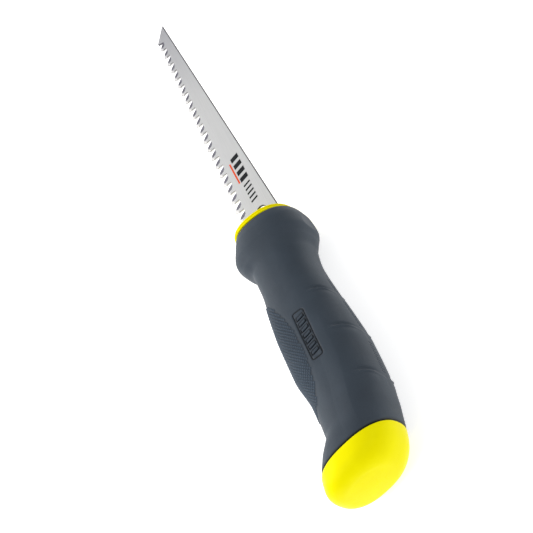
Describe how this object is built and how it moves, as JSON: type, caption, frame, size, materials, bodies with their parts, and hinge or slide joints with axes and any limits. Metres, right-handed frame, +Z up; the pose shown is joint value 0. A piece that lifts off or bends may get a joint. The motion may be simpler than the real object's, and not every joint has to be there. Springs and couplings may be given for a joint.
{
  "type": "drywall_saw",
  "caption": "Drywall jab saw: a stiff pointed steel blade with coarse bevelled teeth, fixed in a contoured dark soft-grip handle with a bright yellow collar and butt cap.",
  "frame": {"origin": "Under the middle of the saw's bounding box, on the surface that it lies on.", "axes": "+X runs along the saw to the blade's point, +Y is the toothed (finger) side, +Z is up, across the blade's thickness."},
  "size_m": [0.2998, 0.0472, 0.0364],
  "materials": {
    "blade_steel": "fine ground, satin",
    "rivet_steel": "plain bright",
    "yellow_plastic": "semi-gloss moulded",
    "grip_rubber": "matt, fine grain"
  },
  "bodies": {
    "root": {"blade": "blade_steel", "core_half_upper": "yellow_plastic", "core_half_lower": "yellow_plastic", "tang_rivet_1": "rivet_steel", "tang_rivet_2": "rivet_steel", "tang_rivet_3": "rivet_steel", "grip_sleeve": "grip_rubber", "butt_cap": "yellow_plastic"}
  },
  "joints": []
}
